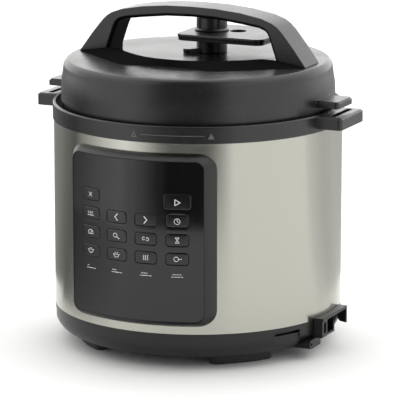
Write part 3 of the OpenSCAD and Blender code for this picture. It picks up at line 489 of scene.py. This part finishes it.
def printed(name, lines, body, turn, height, front, scale=1.0, wide=line_wide):
    """Printed strokes on the round front: points in millimetres about a turn and a height."""
    mesh = bmesh.new()
    for line in lines:
        for start, end in zip(line, line[1:]):
            start, end = Vector(start) * 0.001 * scale, Vector(end) * 0.001 * scale
            run = end - start
            middle = (start + end) / 2
            stroke = bmesh.ops.create_cube(mesh, size=1.0)["verts"]
            bmesh.ops.scale(mesh, verts=stroke, vec=(run.length + wide * 0.7, ink_thick, wide))
            bmesh.ops.rotate(mesh, verts=stroke, matrix=Matrix.Rotation(-math.atan2(run.y, run.x), 3, "Y"))
            bmesh.ops.translate(mesh, verts=stroke, vec=(middle.x, 0, middle.y))
    for corner in mesh.verts:
        corner.co.y -= math.sqrt(front * front - corner.co.x ** 2)
        corner.co.z += height
    bmesh.ops.rotate(mesh, verts=mesh.verts, matrix=Matrix.Rotation(turn, 3, "Z"))
    piece(name, mesh, body, ink, even_normals=False)


def front_radius(name):
    """How far a piece of the panel stands from the body's axis."""
    return max(corner.co.xy.length for corner in nodes[name].data.vertices)


pictures = {
    "key_cancel": [[(-1.5, -1.5), (1.5, 1.5)], [(-1.5, 1.5), (1.5, -1.5)]],
    "key_keep_warm": [arc(x, 0.4, 0.7, 90, 270, 4) for x in (-2, 0, 2)] + [[(-3, -1.6), (3, -1.6)]],
    "key_pressure": [arc(0, -0.9, 2.4, 0, 180, 10), [(0, -0.9), (1.1, 0.6)], [(-2.4, -1.5), (2.4, -1.5)]],
    "key_meal": [arc(0, 0.5, 2.3, 180, 360), [(-2.9, 0.6), (2.9, 0.6)], [(-0.6, 1.6), (0.6, 1.6)]],
    "key_less": [[(1.3, 2.9), (-1.3, 0), (1.3, -2.9)]],
    "key_more": [[(-1.3, 2.9), (1.3, 0), (-1.3, -2.9)]],
    "key_meat": [arc(-0.8, 0.3, 1.5, 0, 360, 12), [(0.4, -0.7), (2.2, -2.0)], [(1.8, -2.2), (2.6, -1.7)]],
    "key_rice": [arc(0, 0.1, 2.1, 180, 360), [(-2.7, 0.2), (2.7, 0.2)], [(-1.2, 1.3), (-0.6, 1.6)],
                 [(0.6, 1.3), (1.2, 1.6)]],
    "key_beans": [arc(-1.4, 0.2, 1.1, 40, 320), arc(1.4, -0.2, 1.1, 220, 500)],
    "key_steam": [wisp(x) for x in (-1.8, -0.3, 1.2)],
    "key_start": [[(-1.6, 2.2), (2.1, 0), (-1.6, -2.2), (-1.6, 2.2)]],
    "key_delay": [arc(0, 0, 2.1, 0, 360, 14), [(0, 1.3), (0, 0), (1.0, -0.5)]],
    "key_slow": [[(-1.4, 1.9), (1.4, 1.9), (-1.4, -1.9), (1.4, -1.9), (-1.4, 1.9)]],
    "key_fry": [arc(-0.7, 0, 1.7, 0, 360, 12), [(1.0, 0), (3.2, 0)]]}
usual_scale = 1.3
small = {"key_less": 1.1, "key_more": 1.1}
bold = {"key_less": 0.0008, "key_more": 0.0008, "key_start": 0.0007}

ink = speckled("legend_ink", {"Base Color": (0.78, 0.78, 0.77, 1)}, scale=1500, detail=2, rough=(0.4, 0.55))
key_front = front_radius("key_meal")
for name in keys:
    low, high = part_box(name)
    middle = (low.z + high.z) / 2
    press = next(joint for joint in joints if joint["child"] == body_of[name])
    turn = math.atan2(-press["axis"][0], press["axis"][1])
    printed("legend_" + name.removeprefix("key_"), pictures[name], body_of[name], turn, middle, key_front,
            small.get(name, usual_scale), bold.get(name, line_wide))

face_front = front_radius("panel_face")
key_pitch = 0.0304
marks_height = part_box("key_meal")[0].z - 0.0092
dash_long = 1.5
dash_pitch = 2.3
lower_bars = [[(-5.5, -1.3), (-3.9, -1.3)], [(-3.0, -1.3), (2.6, -1.3)], [(3.6, -1.3), (5.5, -1.3)]]
for column in range(4):
    dashes = [-4.5 + dash_pitch * n for n in range(column + 1)]
    upper_bars = [[(x, 1.0), (x + dash_long, 1.0)] for x in dashes]
    turn = (column - 1.5) * key_pitch / face_front
    printed("level_marks_" + str(column), upper_bars + lower_bars, "base", turn, marks_height, face_front)

# ---- Power inlet ----
# A hooded housing low on the right side, screwed to the base ring, guards a recess with
# three flat pins for a detachable cord.
inlet_black = speckled("inlet_black_plastic", {"Base Color": (0.008, 0.008, 0.0084, 1), "IOR": 1.28},
                       scale=2200, detail=2, rough=(0.3, 0.38), bump=(0.12, 0.0001))
pin_brass = speckled("pin_brass", {"Base Color": (0.60, 0.47, 0.22, 1), "Metallic": 1.0},
                     scale=800, detail=2, rough=(0.2, 0.3))
eased("inlet_housing", inlet_black, edge=0.0005)
eased("inlet_socket", inlet_black, edge=0.0004)
dress(pin_brass, "inlet_pins")

# ---- Condensation cup ----
# A satin black cup hangs on two rails at the back and catches the water that runs out of
# the collar's channel. It pulls straight off.
eased("cup_rail", base_black, edge=0.0003)
eased("condensation_cup", satin_black, edge=0.0007)

# ---- Inner pot ----
# The pot is spun from stainless steel and polished in rings. It stands loose on the heating
# plate and lifts straight out.
dress(spun, "inner_pot")

# ---- Seal ----
# A moulded ring of milky silicone, pushed onto a wire rack under the inner lid. The float pin
# has a small seal of the same silicone.
silicone_constants = {
    "Base Color": (0.72, 0.70, 0.65, 1), "Subsurface Weight": 0.25, "Subsurface Scale": 0.004}
silicone = speckled("silicone", silicone_constants, scale=300, detail=2, rough=(0.38, 0.48))
dress(silicone, "sealing_ring", "float_seal")

# ---- Lid ----
# A pressed steel inner lid with six bayonet lugs is screwed up into a satin black cover.
# Two tabs on the cover park the lid in the collar's slots.
dress(spun, "inner_lid")
eased("lid_cover", satin_black, edge=0.0005)

# ---- Bridge handle ----
# A hollow-looking arch of the same black plastic, held by four screws from inside the lid.
# Its underside is painted darker and almost glossless, as painted shade under the arch, and a low saddle
# joins its two feet in front.
# Painted shade: a darker, almost glossless copy of the black for the faces that look in under the arch.
underside_shade_constants = {"Base Color": (0.006, 0.006, 0.0062, 1), "Specular IOR Level": 0.02}
underside_painted_shade = speckled("handle_underside_painted_shade", underside_shade_constants,
                        scale=2400, detail=2, rough=(0.3, 0.36), bump=(0.1, 0.0001))
# Painted shade: the saddle under the arch is painted a still darker black with no gloss at all.
saddle_shade_constants = {"Base Color": (0.008, 0.008, 0.0082, 1), "Specular IOR Level": 0.0}
saddle_painted_shade = speckled("saddle_painted_shade_black", saddle_shade_constants,
                        scale=2400, detail=2, rough=(0.26, 0.31), bump=(0.1, 0.0001))
handle_low, handle_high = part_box("handle")
arch_foot = Vector((0, (handle_low.y + handle_high.y) / 2, handle_low.z))


def looks_in(face, least):
    """Whether a face of the arch looks at the middle between its two feet."""
    inward = arch_foot - face.calc_center_median()
    inward.y = 0
    return face.normal.dot(inward.normalized()) > least


def looks_along(face):
    """Whether a face of the arch looks to the front or the back."""
    return abs(face.normal.y) > 0.75


def under_edge(edge):
    """Whether an edge parts the arch's underside from its front or back."""
    return (edge.is_manifold
            and any(looks_in(face, 0.35) and not looks_along(face) for face in edge.link_faces)
            and any(looks_along(face) for face in edge.link_faces))


under_chamfer = 0.0028
arch_round = 0.0007
arch = merged_copy("handle")
round_edges(arch, [edge for edge in arch.edges if under_edge(edge)], under_chamfer, segments=1)
round_edges(arch, sharper_than(arch, 32), arch_round)
# Faces that look in under the arch take the painted-shade copy of the black.
for face in arch.faces:
    face.material_index = int(looks_in(face, 0.3) and not looks_along(face))
handle = piece("handle_arch", arch, "lid", satin_black, "handle")
handle.data.materials.append(underside_painted_shade)
eased("handle_saddle", saddle_painted_shade)

# ---- Steam valve ----
# A steel pipe carries a guard plate and a loose weight that closes the pipe.
# The sleeve round its column turns by its tab and lifts the weight.
dress(spun, "steam_pipe")
for name in ("valve_column", "guard_plate", "release_lever", "valve_weight"):
    eased(name, satin_black, edge=0.0006)

# ---- Float ----
# A red plastic pin rises through the lid when there is pressure, and stops the lid from turning.
# It slides in a turned steel guide.
red_pin = speckled("red_pin", {"Base Color": (0.32, 0.02, 0.015, 1)}, scale=600, detail=2, rough=(0.3, 0.42))
dress(red_pin, "float_pin")
dress(spun, "float_guide")
